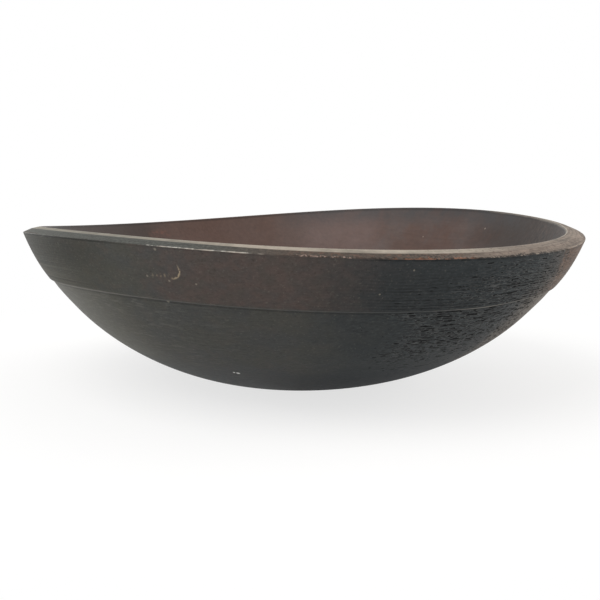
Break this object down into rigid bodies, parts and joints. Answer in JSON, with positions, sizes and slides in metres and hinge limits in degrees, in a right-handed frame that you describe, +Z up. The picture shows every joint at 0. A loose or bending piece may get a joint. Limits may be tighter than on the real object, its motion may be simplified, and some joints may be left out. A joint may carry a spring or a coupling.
{
  "type": "turned wooden bowl",
  "caption": "Wide turned wooden bowl with a raised collar below a bevelled rim, warped oval and saddle-shaped by age, open at the top to hold dough or food and standing on a small flat foot.",
  "frame": {"origin": "centre of the flat foot, on the surface that the bowl stands on", "axes": "+Z up along the axis of turning, +X along the grain, which is the longer diameter of the rim"},
  "size_m": [0.4328, 0.4072, 0.1233],
  "materials": {
    "darkened_wood": "hand-worn, darkened by age and oil, with a low soft sheen"
  },
  "bodies": {
    "root": {"bowl": "darkened_wood"}
  },
  "joints": []
}
